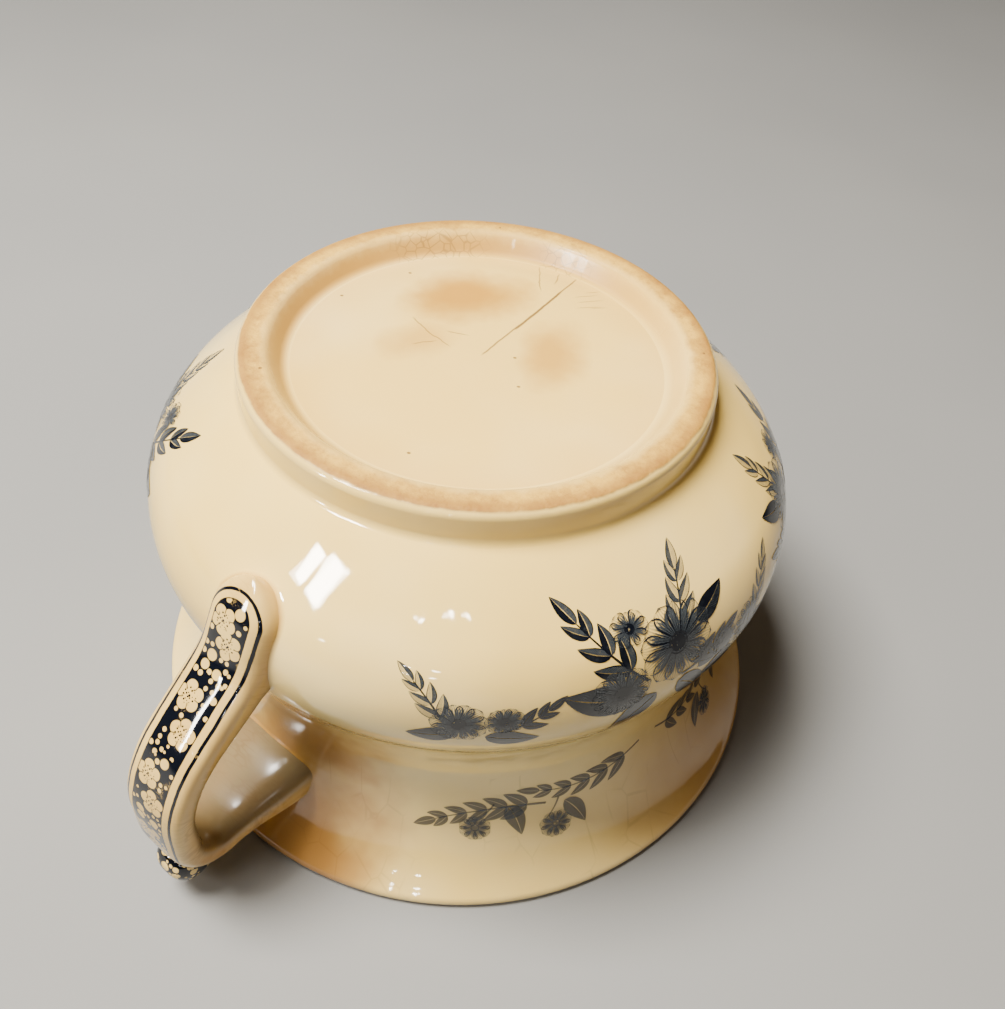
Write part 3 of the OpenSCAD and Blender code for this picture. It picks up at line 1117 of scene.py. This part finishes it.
class POT_OT_neck(bpy.types.Operator):
    """Turn the flared neck from the waist to the wiped rim"""

    bl_idname = "pot.neck"
    bl_label = "Flared neck"
    first_step = math.radians(0.2)
    outer_steps = 34
    lip_steps = (14, 3)
    inner_steps = 24

    def execute(self, context):
        form, _, colours = sizes_of(context)
        s = form.sizes
        land = math.asin(form.lip_c.y / form.lip_r)
        outer_lip, inner_lip = self.lip_steps
        line = Outline((form.waist.x - s.wall, form.waist.y))
        line.to(form.waist)
        line.arc(form.flare_c, self.first_step, 1)
        line.arc(form.flare_c, form.mouth_turn - self.first_step, self.outer_steps)
        line.arc(form.lip_c, -form.mouth_turn - land, outer_lip)
        line.to(polar(form.lip_c, form.lip_r, land - math.pi))
        line.arc(form.lip_c, form.mouth_turn - land, inner_lip)
        line.arc(form.flare_c, -form.mouth_turn, self.inner_steps)
        shell = line.turned(s.lathe_steps)
        finished("neck_shell", shell, neck_finish(colours), ["flared_neck"])
        return {"FINISHED"}


class POT_OT_foot_ring(bpy.types.Operator):
    """Turn the foot ring with its coves and its flat standing face"""

    bl_idname = "pot.foot_ring"
    bl_label = "Foot ring"
    sunk = 0.8 * MM
    under_panel = 0.4 * MM
    steps = 10

    def execute(self, context):
        form, _, colours = sizes_of(context)
        s = form.sizes
        far = form.dome_r + s.foot_cove
        cove = Vector((s.foot_radius + s.foot_cove, 0))
        cove.y = form.dome_c.y + leg(far, cove.x)
        lean = math.atan2(cove.y - form.dome_c.y, cove.x)
        inner = s.foot_radius - s.foot_width
        edge = Vector((inner + s.foot_soft, form.height - s.foot_soft))
        out = Vector((-math.cos(s.foot_lean), math.sin(s.foot_lean)))
        brow = edge + s.foot_soft * out
        drop = (brow.y - form.base_z - s.panel_cove * (1 - out.y)) / -out.x
        foot = brow + drop * Vector((-out.y, out.x))
        hollow = foot + s.panel_cove * out
        start = polar(form.dome_c, form.dome_r - self.sunk, lean)
        outer_round = 2 * s.foot_round
        line = Outline(start)
        line.to(polar(form.dome_c, form.dome_r, lean))
        line.arc(cove, -lean, self.steps)
        line.to((s.foot_radius, form.height - outer_round))
        corner = (s.foot_radius - outer_round, form.height - outer_round)
        line.arc(corner, math.pi / 2, self.steps)
        line.to((edge.x, form.height))
        line.arc(edge, math.pi / 2 - s.foot_lean, self.steps)
        line.to(foot)
        line.arc(hollow, s.foot_lean - math.pi / 2, self.steps)
        line.to((hollow.x - self.under_panel, form.base_z - self.sunk), start)
        turned = line.turned(s.lathe_steps)
        finished("foot_ring_turned", turned, foot_finish(form, colours), ["foot_ring"])
        return {"FINISHED"}


class POT_OT_strap(bpy.types.Operator):
    """Bend the strap from the flare round to its tongue on the belly"""

    bl_idname = "pot.strap"
    bl_label = "Handle strap"
    section = 44
    root_depth = 3 * MM

    def execute(self, context):
        form, s, colours = sizes_of(context)
        path = StrapPath(s, form)
        bm = bmesh.new()
        layer = bm.verts.layers.float_vector.new("strap_map")
        loops = []
        for station, along in zip(path.stations, path.lengths):
            verts, edges = ring(bm, self.section)
            for vert in verts:
                angle = math.atan2(vert.co.y, vert.co.x)
                vert.co, vert[layer] = self.skin(form, s, station, along, angle)
            loops.append(edges)
        skinned(bm, loops)
        bmesh.ops.holes_fill(bm, edges=loops[0] + loops[-1], sides=0)
        finished("strap_bent", bm, strap_finish(path, colours), ["handle_strap"])
        return {"FINISHED"}

    def skin(self, form, s, station, along, angle):
        """Place and print coordinates of a point on the strap, by its angle round the section."""
        middle, look, half, swell = station
        out = squared(math.cos(angle), s.strap_square)
        across = half * squared(math.sin(angle), s.strap_square)
        flat = polar(middle, out * (s.strap_thick + swell) / 2 - swell / 2, look)
        point = form.buried(Vector((across, -flat.x, flat.y)), self.root_depth)
        point.x += leaning(s, point.z)
        return point, (along / MM, across / MM, out)


class POT_OT_spur(bpy.types.Operator):
    """Shape the thumb spur under the strap's lower turn"""

    bl_idname = "pot.spur"
    bl_label = "Thumb spur"
    squareness = (2.7, 2.4, 2.2)
    taper = 0.18
    around = 48
    rings = 28

    def execute(self, context):
        _, s, colours = sizes_of(context)
        low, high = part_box("thumb_spur")
        middle, half = (low + high) / 2, (high - low) / 2
        middle.x -= s.spur_aside
        half.x -= s.spur_aside
        bm = bmesh.new()
        bmesh.ops.create_uvsphere(bm, u_segments=self.around, v_segments=self.rings, radius=1.0)
        for vert in bm.verts:
            plump = 1 - self.taper * max(0.0, -vert.co.z)
            x, y, z = map(squared, vert.co, self.squareness)
            vert.co = middle + Vector((x * half.x * plump, y * half.y * plump, z * half.z))
        finished("spur_shaped", bm, spur_finish(colours), ["thumb_spur"])
        return {"FINISHED"}


class POT_OT_slip(bpy.types.Operator):
    """Wipe the slip round both roots of the strap into a hollow fillet"""

    bl_idname = "pot.slip"
    bl_label = "Slip joints"
    count = 96
    steps = 7
    sunk = 0.9 * MM
    feather = (-0.02 * MM, -0.06 * MM)
    heel = 0.4 * MM
    crease = 60

    def execute(self, context):
        form, s, colours = sizes_of(context)
        path = StrapPath(s, form)
        material = slip_finish(colours)
        on_belly = functools.partial(self.on_belly, form, s, path)
        on_flare = functools.partial(self.on_flare, form, s)
        self.fillet("upper_slip", on_belly, s, material, "upper_slip_joint")
        self.fillet("lower_slip", on_flare, s, material, "lower_slip_joint")
        return {"FINISHED"}

    def fillet(self, name, put, s, material, node):
        """A closed ring with a hollow face; put places a point by its way round, inset and rise."""
        reach = s.slip_margin + s.slip_under
        profile = [self.feather]
        for i in range(1, self.steps + 1):
            b = math.pi / 2 * i / self.steps
            profile.append((reach * math.sin(b), s.slip_rise * (1 - math.cos(b))))
        profile += [(reach, -self.sunk), (self.heel, -self.sunk)]
        bm = bmesh.new()
        layer = bm.verts.layers.float_vector.new("slip_map")
        loops = []
        for inset, rise in profile:
            verts, edges = ring(bm, self.count)
            for vert in verts:
                vert[layer] = (inset / reach, 0, 0)
                vert.co = put(math.atan2(vert.co.y, vert.co.x) / math.tau % 1, inset, rise)
            loops.append(edges)
        skinned(bm, loops, closed=True)
        finished(name, bm, material, [node], self.crease)

    def on_belly(self, form, s, path, share, inset, rise):
        """Point of the slip round the tongue."""
        x, y = bar_outline(share, s.strap_width / 2 + s.slip_margin - inset, path.bed_run)
        turned = s.tongue_end + math.asin(y / form.sizes.bulge_arc) + form.belly_turn
        radius, z = form.outside(form.bulge_start + turned * form.sizes.bulge_arc, rise)
        return on_handle_side(radius, x + leaning(s, z), z)

    def on_flare(self, form, s, share, inset, rise):
        """Point of the slip round the splayed end."""
        root = (s.strap_thick + s.low_fill) / 2
        run = s.strap_width + 2 * (s.splay - root)
        up, across = bar_outline(share, root + s.slip_margin - inset, run)
        z = s.low_run + s.low_fill / 2 + up
        radius = form.flare_c.x - leg(form.sizes.flare_arc, z - form.flare_c.y) + rise
        return on_handle_side(radius, across + run / 2 + leaning(s, z), z)


def bar_outline(share, half, run):
    """Point at a share of the way round a round-ended bar that runs down from 0, 0."""
    bend = 0.75
    lap, part = divmod(2 * share, 1)
    if part < bend:
        angle = math.pi * (lap + part / bend)
        return half * math.cos(angle), half * math.sin(angle) - lap * run
    down = (part - bend) / (1 - bend)
    return (half, run * (down - 1)) if lap else (-half, -run * down)


def leaning(s, z):
    """Sideways shift of the strap at a height."""
    return s.aside + s.lean * max(0.0, z - s.lean_from)


def on_handle_side(radius, x, z):
    """Point at a radius on the handle's side of the pot."""
    return Vector((x, -leg(radius, x), z))


class POT_OT_print(bpy.types.Operator):
    """Lay the printed sprays on the belly and the garland on the flare"""

    bl_idname = "pot.print"
    bl_label = "Printed sprays"
    first = -20
    spacing = 48
    count = 6
    small_shift = -30
    garland_shift = -14
    belly_ink = 1.0
    flare_ink = 0.7
    crease = 180

    def execute(self, context):
        form, _, colours = sizes_of(context)
        belly, flare = bmesh.new(), bmesh.new()
        for i in range(self.count):
            azimuth = self.first + self.spacing * i
            flip = 1 if i % 2 else -1
            big_spray(belly, form, azimuth, flip)
            small_spray(belly, form, azimuth + self.small_shift, -flip)
            garland(flare, form, azimuth + self.garland_shift, flip)
        self.lay("belly_print", belly, print_finish(colours, "belly_ink", self.belly_ink), "bowl_glaze")
        self.lay("flare_print", flare, print_finish(colours, "flare_ink", self.flare_ink), "neck_glaze")
        return {"FINISHED"}

    def lay(self, name, bm, material, slot):
        """Finishes a print, with its faces turned outwards."""
        piece = finished(name, bm, material, (), self.crease)
        if sum(p.normal.xy.dot(p.center.xy) for p in piece.data.polygons) < 0:
            piece.data.flip_normals()


class POT_OT_stage(bpy.types.Operator):
    """Set the pale floor, the soft lights and the camera"""

    bl_idname = "pot.stage"
    bl_label = "Stage"
    camera_at = Vector((136.9, -180.0, 300.1)) * MM
    look_down = math.radians(45.5)
    look_round = math.radians(34.5)
    tilt = math.radians(5.73)
    focal_pixels = 976.2
    image_side = 1009
    sensor = 36.0
    nearest = 0.01
    aim_at = Vector((0, 0, 80)) * MM
    warm = (1.0, 0.91, 0.76)
    amber = (1.0, 0.62, 0.30)
    white = (1.0, 0.96, 0.90)
    # Soft panels that only light: name, azimuth, elevation, distance, side, watts, colour
    panels = (
        ("top_softbox", -136, 68, 1.2, 0.5, 66, warm),
        ("front_fill", -100, 41, 1.2, 0.4, 3, warm),
        ("warm_fill", 8, 46, 1.5, 1.0, 2.4, amber),
    )
    room = (0.86, 0.90, 1.0)
    room_glow = 0.03
    backdrop = (0.46, 0.455, 0.44)
    floor_half = 3.0
    floor_drop = 0.05 * MM
    pane_glow = 480
    pane_distance = 1.3
    # Small panes that only show as reflections in the glaze: azimuth, elevation, width, height
    panes = (
        (-114, 40, 0.10, 0.24),
        (-105, 41, 0.13, 0.29),
        (-136, 68, 0.18, 0.18),
        (-70, 45.2, 0.03, 0.02),
        (-59.2, 47.5, 0.03, 0.03),
        (-52.2, 48.1, 0.02, 0.02),
        (-68, 17, 0.02, 0.02),
        (-60, 17, 0.02, 0.02),
        (-68, 10.5, 0.015, 0.015),
        (-60.5, 9.5, 0.02, 0.015),
        (-93, 16, 0.02, 0.015),
        (-114, 14, 0.05, 0.2),
    )

    def execute(self, context):
        self.floor(context.scene.pot_colours)
        for name, azimuth, elevation, distance, side, watts, colour in self.panels:
            panel = self.light(name, azimuth, elevation, distance, (side, side), watts, colour)
            panel.visible_glossy = False
        for i, (azimuth, elevation, *size) in enumerate(self.panes):
            watts = self.pane_glow * math.prod(size)
            pane = self.light(f"pane_{i}", azimuth, elevation, self.pane_distance, size, watts, self.white)
            pane.visible_diffuse = False
        self.world(context.scene)
        self.camera(context.scene)
        return {"FINISHED"}

    def floor(self, colours):
        f = Finish("studio_floor")
        shade = f.noise(240, 2.0) * 0.06
        colour = f.blend(shade, colours.floor, (1, 1, 1))
        f.surface(Base_Color=colour, Roughness=0.75)
        bm = bmesh.new()
        bmesh.ops.create_grid(bm, x_segments=8, y_segments=8, size=self.floor_half)
        ground = meshed("studio_floor", bm, f.material)
        ground.location.z = -self.floor_drop

    def light(self, name, azimuth, elevation, distance, size, watts, colour):
        """A rectangle of light that looks at the pot from a direction given in degrees."""
        a, e = math.radians(azimuth), math.radians(elevation)
        way = Vector((math.cos(a) * math.cos(e), math.sin(a) * math.cos(e), math.sin(e)))
        lamp = bpy.data.lights.new(name, "AREA")
        lamp.shape = "RECTANGLE"
        lamp.size, lamp.size_y = size
        lamp.energy = watts
        lamp.color = colour
        holder = placed(name, lamp)
        holder.location = self.aim_at + way * distance
        holder.rotation_euler = (-way).to_track_quat("-Z", "Y").to_euler()
        holder.visible_camera = False
        return holder

    def world(self, scene):
        """A dim room light, with a pale backdrop behind the floor."""
        scene.world = bpy.data.worlds.new("studio")
        scene.world.use_nodes = True
        sky = Nodes(scene.world.node_tree)
        room = sky.node("ShaderNodeBackground", None, {"Color": self.room, "Strength": self.room_glow})
        backdrop = sky.node("ShaderNodeBackground", None, {"Color": self.backdrop})
        seen = sky.node("ShaderNodeLightPath", out="Is Camera Ray")
        both = sky.node("ShaderNodeMixShader", None, {0: seen, 1: room, 2: backdrop})
        sky.node("ShaderNodeOutputWorld", None, {"Surface": both})

    def camera(self, scene):
        lens = bpy.data.cameras.new("camera")
        lens.sensor_width = self.sensor
        lens.lens = self.focal_pixels * self.sensor / self.image_side
        lens.clip_start = self.nearest
        aim = Matrix.Rotation(self.look_round, 4, "Z")
        aim = aim @ Matrix.Rotation(math.pi / 2 - self.look_down, 4, "X")
        aim = aim @ Matrix.Rotation(self.tilt, 4, "Z")
        scene.camera = placed("camera", lens)
        scene.camera.matrix_world = Matrix.Translation(self.camera_at) @ aim


STEPS = (
    POT_OT_bowl,
    POT_OT_neck,
    POT_OT_foot_ring,
    POT_OT_strap,
    POT_OT_spur,
    POT_OT_slip,
    POT_OT_print,
    POT_OT_stage,
)


class POT_PT_panel(bpy.types.Panel):
    """Sidebar panel with the pot's steps and sizes"""

    bl_idname = "POT_PT_panel"
    bl_label = "Chamber pot"
    bl_space_type = "VIEW_3D"
    bl_region_type = "UI"
    bl_category = "Pot"

    def draw(self, context):
        for step in STEPS:
            self.layout.operator(step.bl_idname)
        for group in (context.scene.pot_body, context.scene.pot_handle, context.scene.pot_colours):
            box = self.layout.box()
            for name in group.__annotations__:
                box.prop(group, name)


CLASSES = (PotBodySizes, PotHandleSizes, PotColours, *STEPS, POT_PT_panel)


def register():
    for cls in CLASSES:
        bpy.utils.register_class(cls)
    bpy.types.Scene.pot_body = PointerProperty(type=PotBodySizes)
    bpy.types.Scene.pot_handle = PointerProperty(type=PotHandleSizes)
    bpy.types.Scene.pot_colours = PointerProperty(type=PotColours)


def unregister():
    del bpy.types.Scene.pot_colours
    del bpy.types.Scene.pot_handle
    del bpy.types.Scene.pot_body
    for cls in reversed(CLASSES):
        bpy.utils.unregister_class(cls)


def main():
    register()
    bpy.ops.pot.bowl()
    bpy.ops.pot.neck()
    bpy.ops.pot.foot_ring()
    bpy.ops.pot.strap()
    bpy.ops.pot.spur()
    bpy.ops.pot.slip()
    bpy.ops.pot.print()
    bpy.ops.pot.stage()
    bpy.context.view_layer.update()


if __name__ == "__main__":
    main()
